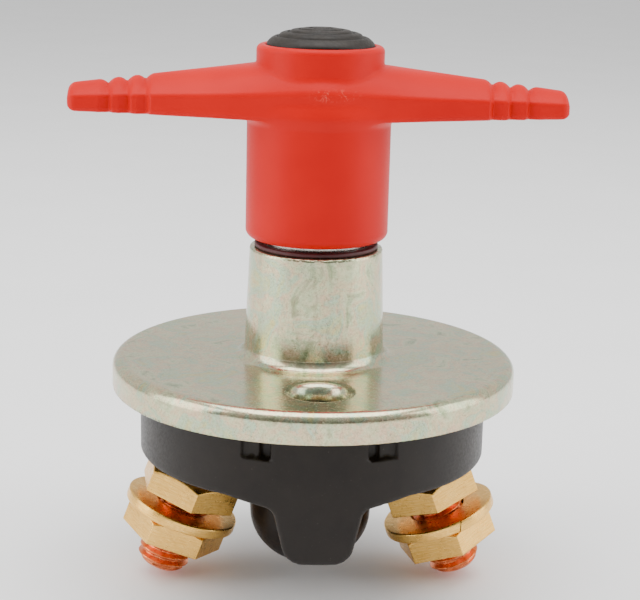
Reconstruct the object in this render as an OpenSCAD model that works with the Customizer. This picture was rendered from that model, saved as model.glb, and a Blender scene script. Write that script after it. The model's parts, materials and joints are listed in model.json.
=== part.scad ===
// Panel-mounted battery isolator switch with a T handle and two splayed M10 studs.
// Origin: centre of the flange face that seats under the panel. +Z towards the handle,
// handle and studs along X, screw legs along Y.

/* [Mounting flange] */
// Outer radius of the pressed flange
flange_r = 37.5; // [37:0.1:40]
// Height of the turned-down rim
rim_h = 5.7; // [5.6:0.1:6]
// Thickness of the pressed sheet
sheet_t = 1.8; // [1.6:0.1:1.9]
// Radius of the rim's rounded upper edge
rim_edge_r = 1.9; // [1:0.1:2.4]
// Height of the spindle collar above the flange
collar_h = 20.6; // [18:0.1:22]
// Outer radius of the collar at its foot
collar_foot_r = 13.05; // [12.8:0.05:14]
// Outer radius of the collar at its top
collar_top_r = 12.25; // [12:0.05:12.8]
// Distance of each fixing hole from the centre
fixing_offset = 24.5; // [24:0.1:25]
// Radius of each fixing hole
fixing_hole_r = 4.2; // [3.5:0.1:4.3]

/* [Housing] */
// Outer radius of the moulded housing
housing_r = 32.3; // [32:0.1:32.5]
// Depth of the housing's lower edge below the flange face
housing_depth = 18; // [17.6:0.1:18.4]
// Depth of the tip of each screw leg
leg_depth = 29.4; // [27:0.1:32]
// Depth of the bottom of the spring dome
dome_depth = 41; // [40.5:0.1:43]
// Radius of the spring dome where its round end starts
dome_r = 11.5; // [11:0.1:12]

/* [Terminals] */
// Radius of each terminal stud
stud_r = 5; // [4.8:0.1:5]
// Lean of each stud away from the vertical
stud_tilt = 20; // [17:0.5:21]
// Free gap for the cable lug on the left stud
lug_gap_left = 1.9; // [1:0.1:3]
// Free gap for the cable lug on the right stud
lug_gap_right = 2.7; // [1:0.1:3]
// Width across the flats of the nuts
nut_af = 17; // [16:0.5:17]
// Height of each nut
nut_h = 5; // [4:0.1:6]
// Outer radius of the split lock washers
lock_washer_r = 10.8; // [9.5:0.05:11]
// Thickness of the split lock washers
lock_washer_t = 2; // [1.2:0.1:2.5]

/* [Handle] */
// Span of the T handle
handle_span = 90.4; // [80:0.2:100]
// Radius of the handle's hub
hub_r = 13.1; // [13:0.1:14]
// Height of the underside of the hub
hub_z = 22.4; // [22.3:0.1:23]
// Height of the rim around the cap
handle_top_z = 57.5; // [57:0.1:58]
// Radius of the rubber cap
cap_r = 9.76; // [9.5:0.02:9.8]

/* [Mechanism] */
// Distance that the contact bridge moves down
contact_travel = 4; // [3.5:0.1:4]
// Gap left between the bridge and the stud heads when on
contact_gap = 0.15; // [0.1:0.05:0.2]
// Radius of the spindle in its bush
spindle_r = 6; // [5.8:0.1:6]

/* [Hidden] */
$fn = 96;

zinc = [0.72, 0.72, 0.64];
steel = [0.6, 0.6, 0.62];
bakelite = [0.18, 0.16, 0.15];
brass = [0.78, 0.65, 0.42];
copper = [0.84, 0.42, 0.26];
red = [0.85, 0.2, 0.16];

// Small overlap that keeps cuts and joints clean
eps = 0.05;
// Gap between neighbours that are pressed or screwed together
press_gap = 0.02;
// Radius of each stud inside its nuts, smaller than at its free end
stud_core_r = stud_r - 0.25;
// Radial running clearance of the spindle in its bush
run_gap = 0.05;

// Collar and bush
bore_r = 10.2;
bush_z0 = 8.4;
bush_z1 = hub_z - 0.1;
bush_neck_r = 9.8;
o_ring_z = 16;
o_ring_wire_r = 0.85;
o_ring_gap = 0.05;

// Rim lip that holds the housing
lip_t = 1;
lip_r = 32.7;
gasket_t = 0.6;
housing_top = -sheet_t - gasket_t - eps;
ledge_r = flange_r - sheet_t - 0.3;
ledge_z0 = -rim_h + lip_t + eps;
plunge_r = 5.6;
plunge_depth = 4.8;
hole_mouth_w = 1.8;
hole_mouth_depth = 0.48;

// Screw legs
leg_side_x = 8.6;
leg_tip_x = 5.6;
leg_corner = 2.6;
shoulder_x = 16;
shoulder_drop = 1.3;
leg_inner_y = 17.5;
leg_bore_r = 4.6;
leg_bore_depth = 24;
leg_mouth_r = 6;
leg_mouth_depth = 5.4;
skirt_edge_r = 0.8;

// Windows in the housing's wall, on both sides of each leg
window_angle = 20;
window_w = 5.1;
window_z0 = -10.3;
window_depth = 1.4;
slot_w = 1.9;
slot_depth = 3;

// Stud stacks, measured along each stud from the seat of the lock washer
axis_x = 24.4;
axis_z = -30.4;
nut_seat = -7.4;
seal_t = 1;
wall_t = 6;
boss_r = 10;
head_r = 7.5;
head_t = 4;
neck_w = 10;
neck_t = 3;
tip_s = 12.4;
tip_chamfer = 1;
wall_seat = nut_seat - seal_t;
head_seat = wall_seat - wall_t;
head_face = head_seat - head_t;
face_x = axis_x + head_face * sin(stud_tilt);
face_z = axis_z - head_face * cos(stud_tilt);

// Contact chamber
slot_half = 8.2;
slot_x = 27.5;
slot_drop = 1;
bore_floor = -9.2;
well_r = 5.8;
well_floor = -37.4;

// Contact bridge at rest, with the handle off
bridge_t = 3;
bridge_flat_x = 10;
bridge_end_x = 26;
bridge_w = 15.4;
bridge_z = face_height(bridge_flat_x) + contact_travel + contact_gap;
bridge_top = bridge_z + bridge_t;

// Carrier
carrier_r = 9.6;
carrier_top = -2.2;
carrier_plate_t = 2.5;
stem_w = 7;
stem_r = 3.4;
stem_end = -31.5;
clip_t = 0.8;
clip_r = 5.4;
clip_groove_r = 2.8;
seat_t = 0.9;
pilot_r = 2;
pilot_end = -8;
pilot_bore_end = -10.5;
clip_z = bridge_z - 0.1 - clip_t;
seat_z = clip_z - 0.05 - seat_t;

// Cam and followers
cam_face = 2.8;
cam_top = 8.2;
cam_r = 9.6;
ramp_r0 = 5;
ramp_r1 = 9.4;
ramp_end = 100;
land_end = 160;
pin_r = 1.8;
pin_ring_r = 7;
follower_gap = 0.1;
ramp_depth = contact_travel * ramp_end / 90;
ramp_slope = atan(contact_travel / (PI / 2 * pin_ring_r));
pin_ball_z = cam_face - (pin_r + follower_gap) / cos(ramp_slope);
cross_z = 5.5;
cross_r = 1.5;

// Handle and its fastening
neck_z = 8.2;
square_z0 = 22.9;
square_w = 9;
spindle_top = 44;
web_z = 50.5;
head_bore_r = 8;
cap_seat_z = 55;
cap_apex_z = 60.6;
rim_r = 11.56;
bar_z = 44.6;
bar_top_z = 53.9;

function face_height(x) = face_z + (x - face_x) * tan(stud_tilt);
function arc(c, r, a0, a1, n = 8) =
    [for (i = [0:n]) c + r * [cos(a0 + (a1 - a0) * i / n), sin(a0 + (a1 - a0) * i / n)]];

// Frame of a stud: z runs down along the stud from the seat of its lock washer
module at_stud(side) {
    translate([side * axis_x, 0, axis_z]) rotate([0, 180 - side * stud_tilt, 0]) children();
}

// Tube along z
module tube(r_out, r_in, z0, z1) {
    translate([0, 0, z0]) difference() {
        cylinder(r = r_out, h = z1 - z0);
        translate([0, 0, -eps]) cylinder(r = r_in, h = z1 - z0 + 2 * eps);
    }
}

// Wire wound from z0 to z1 around z, as one closed sweep
module coil(ring_r, wire_r, z0, z1, turns, per_turn = 20, sides = 8) {
    n = ceil(turns * per_turn);
    ring_points = [for (i = [0:n], j = [0:sides - 1])
        let (a = 360 * turns * i / n, b = 360 * j / sides, r = ring_r + wire_r * cos(b))
        [r * cos(a), r * sin(a), z0 + (z1 - z0) * i / n + wire_r * sin(b)]];
    walls = [for (i = [0:n - 1], j = [0:sides - 1])
        let (k = (j + 1) % sides)
        [i * sides + j, (i + 1) * sides + j, (i + 1) * sides + k, i * sides + k]];
    first_cap = [[for (j = [0:sides - 1]) j]];
    last_cap = [[for (j = [sides - 1:-1:0]) n * sides + j]];
    polyhedron(points = ring_points, faces = concat(walls, first_cap, last_cap));
}

// Pressed sheet with its collar, turned-down rim and holding lip
module flange_section() {
    polygon(concat(
        [[lip_r, -rim_h]],
        arc([flange_r - lip_t, -rim_h + lip_t], lip_t, -90, 0, 4),
        arc([flange_r - rim_edge_r, -rim_edge_r], rim_edge_r, 0, 90),
        arc([collar_foot_r + 2, 2], 2, 270, 180),
        arc([collar_top_r - 0.3, collar_h - 0.3], 0.3, 0, 90, 3),
        [[bore_r, collar_h], [bore_r, -sheet_t]],
        [[flange_r - sheet_t, -sheet_t], [flange_r - sheet_t, -rim_h + lip_t]],
        [[lip_r, -rim_h + lip_t]]
    ));
}

// Drawn fixing hole with a rounded mouth
module fixing_hole() {
    rotate_extrude() polygon(concat(
        [[0, -plunge_depth - eps], [fixing_hole_r, -plunge_depth - eps]],
        [for (a = [180:-10:90])
            [fixing_hole_r + hole_mouth_w * (1 + cos(a)), hole_mouth_depth * (sin(a) - 1)]],
        [[fixing_hole_r + hole_mouth_w, eps], [0, eps]]
    ));
}

module mounting_flange() {
    color(zinc) difference() {
        union() {
            rotate_extrude($fn = 128) flange_section();
            for (side = [-1, 1]) translate([0, side * fixing_offset, -plunge_depth])
                cylinder(r = plunge_r, h = plunge_depth - sheet_t + eps);
        }
        for (side = [-1, 1]) translate([0, side * fixing_offset, 0]) fixing_hole();
    }
}

module spindle_bush() {
    color(steel) difference() {
        union() {
            tube(bore_r - press_gap, spindle_r + run_gap, bush_z0, collar_h);
            tube(bush_neck_r, spindle_r + run_gap, collar_h - eps, bush_z1);
        }
        tube(spindle_r + 2 * o_ring_wire_r + 0.2, spindle_r - 1, o_ring_z - 1.2, o_ring_z + 1.2);
    }
}

module seal_ring() {
    color([0.35, 0.06, 0.08]) tube(11.4, bush_neck_r + 0.1, collar_h + press_gap, hub_z - 0.9);
}

module spindle_o_ring() {
    color("black") rotate_extrude()
        translate([spindle_r + o_ring_gap + o_ring_wire_r, o_ring_z]) circle(r = o_ring_wire_r, $fn = 32);
}

module flange_gasket() {
    color([0.45, 0.3, 0.2]) difference() {
        tube(ledge_r, bore_r + 0.1, -sheet_t - gasket_t, -sheet_t);
        for (side = [-1, 1]) translate([0, side * fixing_offset, -sheet_t - 2 * gasket_t])
            cylinder(r = leg_mouth_r + 0.2, h = 3 * gasket_t);
    }
}

// Outline of a screw leg, seen along Y, with sloping shoulders and round lower corners
module leg_outline() {
    side_angle = atan((leg_side_x - leg_tip_x) / (leg_depth - housing_depth));
    tip_reach = leg_corner * tan(45 + side_angle / 2);
    half = concat(
        [[0, -housing_depth + 2], [shoulder_x, -housing_depth + 2], [shoulder_x, -housing_depth]],
        [[leg_side_x - shoulder_drop * tan(side_angle), -housing_depth - shoulder_drop]],
        arc([leg_tip_x - tip_reach + 0.9, -leg_depth + leg_corner], leg_corner, -side_angle, -90, 6),
        [[0, -leg_depth]]
    );
    polygon(half);
    mirror([1, 0]) polygon(half);
}

module screw_leg() {
    intersection() {
        translate([0, -leg_inner_y, 0]) rotate([90, 0, 0])
            linear_extrude(height = housing_r - leg_inner_y + 1) leg_outline();
        translate([0, 0, -leg_depth - 1]) cylinder(r = housing_r, h = leg_depth, $fn = 128);
    }
}

// Spring dome: tapered wall that ends in a flattened round nose
module dome_solid() {
    nose_h = 10.2;
    nose_z = -dome_depth + nose_h;
    rotate_extrude() polygon(concat(
        [[0, -housing_depth + 2], [dome_r + 1.1, -housing_depth + 2]],
        [for (a = [0:9:90]) [dome_r * cos(a), nose_z - nose_h * sin(a)]]
    ));
}

module skirt_section() {
    polygon(concat(
        [[0, housing_top], [ledge_r, housing_top], [ledge_r, ledge_z0], [housing_r, ledge_z0]],
        arc([housing_r - skirt_edge_r, -housing_depth + skirt_edge_r], skirt_edge_r, 0, -90, 4),
        [[0, -housing_depth]]
    ));
}

// Pockets that lighten the underside, one in each quarter
module underside_pockets() {
    translate([0, 0, -housing_depth - 1]) linear_extrude(height = 5.5) intersection() {
        circle(r = housing_r - 3);
        for (sx = [-1, 1], sy = [-1, 1]) translate([sx * 27, sy * 30]) square([22, 38], center = true);
    }
}

// Recess under the rim with a deeper slot on the side nearer the leg
module window_cut(side) {
    rotate(side * window_angle) translate([0, -housing_r, 0]) {
        translate([-window_w / 2, -2, window_z0])
            cube([window_w, window_depth + 2, ledge_z0 - window_z0 - 0.4]);
        translate([side > 0 ? -window_w / 2 : window_w / 2 - slot_w, 0, window_z0])
            cube([slot_w, slot_depth, ledge_z0 - window_z0 - 0.4]);
    }
}

// Slot for the bridge with sloping floors under the stud heads
module contact_chamber() {
    low = [for (x = [bridge_flat_x, slot_x]) [x, face_height(x) - slot_drop / cos(stud_tilt)]];
    rotate([90, 0, 0]) linear_extrude(height = 2 * slot_half, center = true) polygon([
        [-slot_x, 0], [slot_x, 0], low[1], low[0],
        [-low[0][0], low[0][1]], [-low[1][0], low[1][1]]
    ]);
    translate([0, 0, bore_floor]) cylinder(r = bore_r, h = -bore_floor);
    translate([0, 0, well_floor]) cylinder(r = well_r, h = -well_floor);
}

module stud_hole() {
    translate([0, 0, head_seat - 3 * head_t / 4]) cylinder(r = head_r + 0.3, h = 3 * head_t / 4);
    translate([0, 0, head_seat + neck_t / 2 - eps])
        cube([neck_w + 0.3, neck_w + 0.3, neck_t + 2 * eps], center = true);
    translate([0, 0, head_seat]) cylinder(r = stud_r + 0.15, h = wall_t + 1);
}

module leg_bore() {
    translate([0, 0, -leg_bore_depth]) cylinder(r = leg_bore_r, h = leg_bore_depth);
    translate([0, 0, -leg_mouth_depth]) cylinder(r = leg_mouth_r, h = leg_mouth_depth);
}

module housing() {
    color(bakelite) difference() {
        union() {
            difference() {
                rotate_extrude($fn = 128) skirt_section();
                underside_pockets();
            }
            for (turn = [0, 180]) rotate(turn) screw_leg();
            dome_solid();
            for (side = [-1, 1]) at_stud(side)
                translate([0, 0, head_seat + 1]) cylinder(r = boss_r, h = wall_t - 1);
        }
        contact_chamber();
        for (side = [-1, 1]) at_stud(side) stud_hole();
        for (turn = [0, 180]) rotate(turn) {
            translate([0, -fixing_offset, 0]) leg_bore();
            for (side = [-1, 1]) window_cut(side);
        }
    }
}

// Copper stud with a round contact head and a square neck that stops it turning
module terminal_stud(side) {
    free_end = washer_seat(side) + lock_washer_t + nut_h + eps;
    color(copper) at_stud(side) {
        translate([0, 0, head_face]) cylinder(r = head_r, h = head_t);
        translate([0, 0, head_seat + neck_t / 2 - eps])
            cube([neck_w, neck_w, neck_t + 2 * eps - 0.1], center = true);
        translate([0, 0, head_seat - eps]) cylinder(r = stud_core_r, h = free_end - head_seat + 2 * eps);
        translate([0, 0, free_end]) cylinder(r = stud_r, h = tip_s - free_end - tip_chamfer);
        translate([0, 0, tip_s - tip_chamfer])
            cylinder(r1 = stud_r, r2 = stud_r - tip_chamfer, h = tip_chamfer);
    }
}

module stud_left() { terminal_stud(-1); }
module stud_right() { terminal_stud(1); }

module stud_seal(side) {
    color([0.45, 0.3, 0.2]) at_stud(side) tube(8.5, stud_r + 0.1, wall_seat + press_gap, nut_seat);
}

module stud_seal_left() { stud_seal(-1); }
module stud_seal_right() { stud_seal(1); }

// Hexagon nut, chamfered on the side nearer the housing, with its corner turned by angle
module hex_nut(side, s, corner) {
    chamfer = 0.9;
    color(brass) at_stud(side) translate([0, 0, s]) difference() {
        intersection() {
            rotate(corner) cylinder(r = nut_af / sqrt(3), h = nut_h, $fn = 6);
            rotate_extrude() polygon([
                [0, 0], [nut_af / 2 - 0.2, 0], [nut_af / sqrt(3) + 0.1, chamfer],
                [nut_af / sqrt(3) + 0.1, nut_h], [0, nut_h]
            ]);
        }
        translate([0, 0, -1]) cylinder(r = stud_core_r + press_gap, h = nut_h + 2);
    }
}

function lug_gap(side) = side < 0 ? lug_gap_left : lug_gap_right;
function washer_seat(side) = nut_seat + nut_h + lug_gap(side);

module seat_nut_left() { hex_nut(-1, nut_seat + press_gap, 24); }
module seat_nut_right() { hex_nut(1, nut_seat + press_gap, 30); }

// Split lock washer with a slanted gap
module lock_washer(side, gap_angle) {
    color(brass) at_stud(side) translate([0, 0, washer_seat(side)]) difference() {
        tube(lock_washer_r, stud_r + 0.3, 0, lock_washer_t);
        rotate(gap_angle) translate([lock_washer_r, 0, lock_washer_t / 2]) rotate([20, 0, 0])
            cube([2 * lock_washer_r, 0.5, 3 * lock_washer_t], center = true);
    }
}

module lock_washer_left() { lock_washer(-1, 120); }
module lock_washer_right() { lock_washer(1, 253); }

module terminal_nut_left() { hex_nut(-1, washer_seat(-1) + lock_washer_t + press_gap, 58); }
module terminal_nut_right() { hex_nut(1, washer_seat(1) + lock_washer_t + press_gap, 19); }

module return_spring() {
    wire = 0.55;
    color(steel) coil(4.6, wire, well_floor + wire + 0.05, seat_z - wire - 0.05, 7);
}

// T bar: spindle-shaped plan, tapered front view with three grooves near each tip
module t_bar() {
    half = handle_span / 2;
    intersection() {
        translate([0, 0, bar_z - 1]) linear_extrude(height = bar_top_z - bar_z + 2) for (turn = [0, 180])
            rotate(turn) polygon([
                [0, -13.6], [13, -10.6], [30, -5.7], [half - 1.3, -3.9], [half, -2.6],
                [half, 2.6], [half - 1.3, 3.9], [30, 5.7], [13, 10.6], [0, 13.6]
            ]);
        rotate([90, 0, 0]) linear_extrude(height = 40, center = true) for (side = [0, 1])
            mirror([side, 0]) difference() {
                polygon([
                    [0, bar_z], [13, bar_z + 0.1], [half - 1.3, bar_z + 0.6], [half, bar_z + 1.9],
                    [half, 49], [half - 1.3, 50.2], [39.6, 50.3], [30, 52.3], [0, bar_top_z]
                ]);
                for (x = [31.3, 34.6, 38]) translate([x, 52.1 - 0.16 * (x - 31.3)]) circle(r = 1.2, $fn = 24);
            }
    }
}

module handle() {
    color(red) difference() {
        union() {
            rotate_extrude($fn = 128) polygon(concat(
                [[0, hub_z]],
                arc([hub_r - 1.5, hub_z + 1.5], 1.5, -90, 0, 5),
                [[hub_r + 0.1, bar_z + 4], [rim_r, bar_z + 8]],
                arc([rim_r - 1, handle_top_z - 1], 1, 0, 90, 4),
                [[0, handle_top_z]]
            ));
            t_bar();
        }
        translate([0, 0, hub_z - 1]) cylinder(r = spindle_r + 0.3, h = square_z0 - hub_z + 1.3);
        translate([0, 0, (hub_z + spindle_top) / 2 + 0.5])
            cube([square_w + 0.2, square_w + 0.2, spindle_top - hub_z + 1], center = true);
        translate([0, 0, spindle_top]) cylinder(r = 3.3, h = web_z - spindle_top + 1);
        translate([0, 0, web_z]) cylinder(r = head_bore_r, h = cap_seat_z - web_z + 1);
        translate([0, 0, cap_seat_z]) cylinder(r = cap_r + 0.06, h = 4);
    }
}

// Rubber cap: plug skirt below, stepped rings on the dome
module handle_cap() {
    steps = 4;
    step_r = cap_r / (steps + 1);
    edge_z = handle_top_z + 0.5;
    color([0.25, 0.22, 0.2]) rotate_extrude() polygon(concat(
        [[6.7, 56.2], [6.7, 52.6], [head_bore_r - 0.05, 52.6], [head_bore_r - 0.05, cap_seat_z + press_gap]],
        [[cap_r, cap_seat_z + press_gap], [cap_r, edge_z]],
        [for (i = [0:steps - 1], k = [0, 1])
            let (r = cap_r - step_r * (i + 1), f = (i + 1 - k * 0.35) / steps)
            [r + (k == 0 ? 0.5 : 0), edge_z + (cap_apex_z - edge_z) * (1 - pow(1 - f, 2))]],
        [[0, cap_apex_z], [0, 56.2]]
    ));
}

module handle_screw() {
    color(steel) {
        translate([0, 0, 36]) cylinder(r = 3, h = 16);
        translate([0, 0, 51.9]) intersection() {
            cylinder(r = 10 / sqrt(3), h = 4, $fn = 6);
            cylinder(r1 = 7.4, r2 = 5.1, h = 4);
        }
    }
}

module handle_washer() {
    color(steel) tube(6.2, 3.2, web_z + press_gap, 51.9);
}

module spindle() {
    color(steel) difference() {
        union() {
            translate([0, 0, pilot_end]) cylinder(r = pilot_r, h = cam_face - pilot_end + eps);
            translate([0, 0, cam_face]) cylinder(r = 4.5, h = neck_z - cam_face + eps);
            translate([0, 0, neck_z]) cylinder(r = spindle_r, h = square_z0 - neck_z);
            translate([-square_w / 2, -square_w / 2, square_z0 - eps])
                cube([square_w, square_w, spindle_top - square_z0 - 0.2]);
        }
        translate([0, 0, 33]) cylinder(r = 3 + press_gap, h = 12);
        translate([0, 0, cross_z]) rotate([0, 90, 0])
            cylinder(r = cross_r + press_gap, h = 12, center = true);
    }
}

// Sector of the ring that carries the ramps, from angle a0 to a1
module ramp_sector(a0, a1) {
    intersection() {
        difference() {
            circle(r = ramp_r1);
            circle(r = ramp_r0);
        }
        polygon(concat([[0, 0]], arc([0, 0], 2 * ramp_r1, a0, a1, 4)));
    }
}

// One ramp: it deepens evenly with the angle, then keeps its full depth
module cam_ramp() {
    difference() {
        translate([0, 0, cam_face - ramp_depth]) linear_extrude(height = ramp_depth + eps)
            ramp_sector(0, land_end);
        translate([0, 0, cam_face - ramp_depth])
            linear_extrude(height = ramp_depth, twist = ramp_end, slices = 20)
                polygon(concat([[0, 0]], arc([0, 0], ramp_r1 + 1, -2, ramp_end, 6)));
    }
}

module drive_cam() {
    color(steel) {
        difference() {
            tube(cam_r, 4.5 + press_gap, cam_face, cam_top);
            translate([0, 0, cross_z]) rotate([0, 90, 0])
                cylinder(r = cross_r + press_gap, h = 30, center = true);
        }
        for (turn = [0, 180]) rotate(turn) cam_ramp();
    }
}

module cross_pin() {
    color(steel) translate([0, 0, cross_z]) rotate([0, 90, 0]) cylinder(r = cross_r, h = 18, center = true);
}

module contact_carrier() {
    color([0.4, 0.25, 0.15]) difference() {
        union() {
            translate([0, 0, carrier_top - carrier_plate_t]) cylinder(r = carrier_r, h = carrier_plate_t);
            translate([-stem_w / 2, -stem_w / 2, bridge_z])
                cube([stem_w, stem_w, carrier_top - carrier_plate_t - bridge_z + eps]);
            translate([0, 0, stem_end]) cylinder(r = stem_r, h = bridge_z - stem_end + eps);
        }
        translate([0, 0, pilot_bore_end]) cylinder(r = pilot_r + 0.1, h = -pilot_bore_end);
        tube(stem_r + 1, clip_groove_r, clip_z - 0.05, clip_z + clip_t + 0.05);
        for (side = [-1, 1]) translate([side * pin_ring_r, 0, carrier_top - carrier_plate_t - eps])
            cylinder(r = pin_r + press_gap, h = carrier_plate_t + 1);
    }
}

module follower_pins() {
    color(steel) for (side = [-1, 1]) translate([side * pin_ring_r, 0, 0]) {
        translate([0, 0, carrier_top - carrier_plate_t])
            cylinder(r = pin_r, h = pin_ball_z - carrier_top + carrier_plate_t);
        translate([0, 0, pin_ball_z]) sphere(r = pin_r, $fn = 48);
    }
}

// Copper bridge whose sloping ends land on both stud heads
module contact_bridge() {
    rise = (bridge_end_x - bridge_flat_x) * tan(stud_tilt);
    skew = bridge_t * tan(stud_tilt / 2);
    half = [
        [bridge_flat_x, bridge_z], [bridge_end_x, bridge_z + rise],
        [bridge_end_x - bridge_t * sin(stud_tilt), bridge_z + rise + bridge_t * cos(stud_tilt)],
        [bridge_flat_x - skew, bridge_top]
    ];
    color(copper) difference() {
        rotate([90, 0, 0]) linear_extrude(height = bridge_w, center = true)
            polygon(concat(half, [for (i = [3:-1:0]) [-half[i][0], half[i][1]]]));
        translate([-stem_w / 2 - 0.2, -stem_w / 2 - 0.2, bridge_z - 1])
            cube([stem_w + 0.4, stem_w + 0.4, bridge_t + 2]);
    }
}

module contact_spring() {
    wire = 0.5;
    color(steel) coil(6.3, wire, bridge_top + wire + 0.03, carrier_top - carrier_plate_t - wire - 0.03, 2);
}

// Snap ring that keeps the bridge on the carrier
module carrier_circlip() {
    color(steel) difference() {
        tube(clip_r, clip_groove_r + press_gap, clip_z, clip_z + clip_t);
        translate([0, -1.5, clip_z - 1]) cube([2 * clip_r, 3, clip_t + 2]);
    }
}

module spring_seat() {
    color(steel) tube(clip_r, stem_r + 0.1, seat_z, seat_z + seat_t);
}

mounting_flange();
spindle_bush();
seal_ring();
spindle_o_ring();
flange_gasket();
housing();
stud_left();
stud_right();
stud_seal_left();
stud_seal_right();
seat_nut_left();
seat_nut_right();
lock_washer_left();
lock_washer_right();
terminal_nut_left();
terminal_nut_right();
return_spring();
handle();
handle_cap();
handle_screw();
handle_washer();
spindle();
drive_cam();
cross_pin();
contact_carrier();
follower_pins();
contact_bridge();
contact_spring();
carrier_circlip();
spring_seat();
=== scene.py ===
import itertools
import json
import math

import bpy
import numpy as np
from mathutils import Matrix, Vector


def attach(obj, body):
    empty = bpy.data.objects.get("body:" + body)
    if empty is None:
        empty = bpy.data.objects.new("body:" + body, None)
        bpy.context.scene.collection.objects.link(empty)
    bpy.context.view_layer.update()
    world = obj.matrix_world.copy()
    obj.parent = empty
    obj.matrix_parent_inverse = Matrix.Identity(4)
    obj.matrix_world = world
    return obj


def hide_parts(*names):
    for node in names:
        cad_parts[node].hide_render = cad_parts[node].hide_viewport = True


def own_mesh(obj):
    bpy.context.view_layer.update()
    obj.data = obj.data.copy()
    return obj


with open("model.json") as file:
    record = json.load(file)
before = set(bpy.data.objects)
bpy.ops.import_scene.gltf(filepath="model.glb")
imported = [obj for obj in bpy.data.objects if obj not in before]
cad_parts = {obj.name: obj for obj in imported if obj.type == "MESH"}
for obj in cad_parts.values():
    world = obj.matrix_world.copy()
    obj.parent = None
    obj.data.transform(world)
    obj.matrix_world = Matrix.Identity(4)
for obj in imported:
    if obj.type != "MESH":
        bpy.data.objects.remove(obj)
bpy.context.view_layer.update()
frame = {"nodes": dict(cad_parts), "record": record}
nodes = frame["nodes"]

# Battery isolator switch. Shapes are in millimetres in the model's own frame: z up from the
# flange face, handle and studs along x, screw legs along y, the camera towards -y.
MM = 0.001

# Flange and collar
FLANGE_R = 37.5
RIM_DEPTH = 5.7
SHEET = 1.8
RIM_EDGE_R = 1.9
RIM_LIP_T = 1
LIP_R = 32.7
COLLAR_TOP = 20.6
COLLAR_FOOT_R = 13.05
COLLAR_TOP_R = 12.25
COLLAR_FILLET = 2.0
BORE_R = 10.2
HOLE_Y = 24.5
HOLE_R = 4.2
HOLE_DEPTH = 4.8
HOLE_WALL = 1.7
HOLE_EDGE_R = 1.2
FUNNEL_START = 2.4
FUNNEL_FLARE = 0.19

# Seal ring between collar and handle
SEAL_R = 11.4
SEAL_BORE_R = 9.9
SEAL_LIFT = 0.02
SEAL_GAP = 0.9

# Housing. Cuts from above start at CUT_TOP.
HOUSING_R = 32.3
HOUSING_TOP = -2.45
HOUSING_BOTTOM = -18.0
CUT_TOP = 1
LEDGE_R = 35.4
LEDGE_BOTTOM = -4.65
LEG_TOP_X = 8.2
LEG_TIP_X = 5.5
LEG_DRAFT = 0.06
LEG_TIP = -29.25
LEG_TIP_EDGE_R = 2.6
LEG_ROOT = 4
LEG_INNER_Y = 17.5
SHOULDER_X = 16
SHOULDER_W = 8
SHOULDER_SLOPE = 0.18
POCKET_INNER_Y = 11
POCKET_WALL = 3
POCKET_DEPTH = 4.5
SCREW_BORE_R = 4.6
SCREW_BORE_BOTTOM = -24
SCREW_MOUTH_R = 6.0
SCREW_MOUTH_BOTTOM = -5.4
DOME_R = 11.5
DOME_DRAFT = 1.1
DOME_SHOULDER = -30.8
DOME_NOSE = 10.2
DOME_ROOT = 3
BOSS_R = 10

# Windows under the rim, two beside each leg, each with a deeper slot on the leg's side
WINDOW_TURN = math.radians(20)
WINDOW_BOTTOM = -10.5
WINDOW_HALF_W = 2.8
WINDOW_DEPTH = 0.8
WINDOW_EDGE = 0.5
SLOT_HALF_W = 1.2
SLOT_OFFSET = 1.5
SLOT_DEPTH = 1.0

# Contact chamber inside the housing
CHAMBER_HALF_X = 27.5
CHAMBER_HALF_Y = 8.2
CHAMBER_FLAT_X = 10
CHAMBER_CLEARANCE = 1.05
BUSH_WELL_BOTTOM = -9.2
SPRING_WELL_R = 5.8
SPRING_WELL_BOTTOM = -37.4

# Studs. Seats and ends are along the stud's own axis.
STUD_X = 24.4
STUD_Z = -30.4
STUD_TILT = math.radians(20)
STUD_R = 5.0
STUD_END = 12.4
STUD_CHAMFER = 1.3
THREAD_PITCH = 1.5
THREAD_DEPTH = 0.9
HEAD_R = 7.5
HEAD_T = 4
HEAD_SEAT = -14.4
HEAD_CLEARANCE = 0.3
NECK_HALF = 5
NECK_H = 2.95
NECK_CLEARANCE = 0.15
WALL_SEAT = -8.4

# Nuts and lock washers. Where the studs differ, -1 is the left one and 1 the right one.
# Corners and splits are angles in degrees about the stud.
NUT_SEAT = -7.4
NUT_AF = 17.0
NUT_H = 5.0
NUT_LIFT = 0.02
LUG_GAP = {-1: 1.9, 1: 2.7}
SEAT_NUT_CORNER = {-1: 24, 1: 30}
TERMINAL_NUT_CORNER = {-1: 58, 1: 19}
WASHER_R = 10.8
WASHER_BORE_R = STUD_R + 0.35
WASHER_T = 2.0
WASHER_SPLIT = {-1: 120, 1: 253}

# Return spring
SPRING_R = 4.6
SPRING_WIRE_R = 0.55
SPRING_TURNS = 7

# Handle: hub, rim round the cap, and bar
HUB_R = 13.1
HUB_BOTTOM = 22.4
HUB_TOP = 47
RIM_BOTTOM = 46
RIM_TOP = 57.5
RIM_R = 11.56
HALF_SPAN = 45.2
BAR_BOTTOM = 44.65
BAR_BOTTOM_RISE = 0.012
BAR_END_HALF_W = 4.0
BAR_FLARE = 0.1017
BAR_FLARE_CURVE = 0.00229
BAR_MIDDLE_SMOOTH = 6
BAR_SWELL = 0.6
BAR_SWELL_REACH = 8
CREASE = 49.9
CREASE_FALL = 0.042
CREASE_SWELL = 0.4
CREASE_SWELL_REACH = 10
RIDGE = 54.85
RIDGE_FALL = 0.131
RIDGE_SMOOTH = 8
CROWN_POWER = 1.6
CROWN_SWELL = 2.6
CROWN_SWELL_REACH = 13

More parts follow.
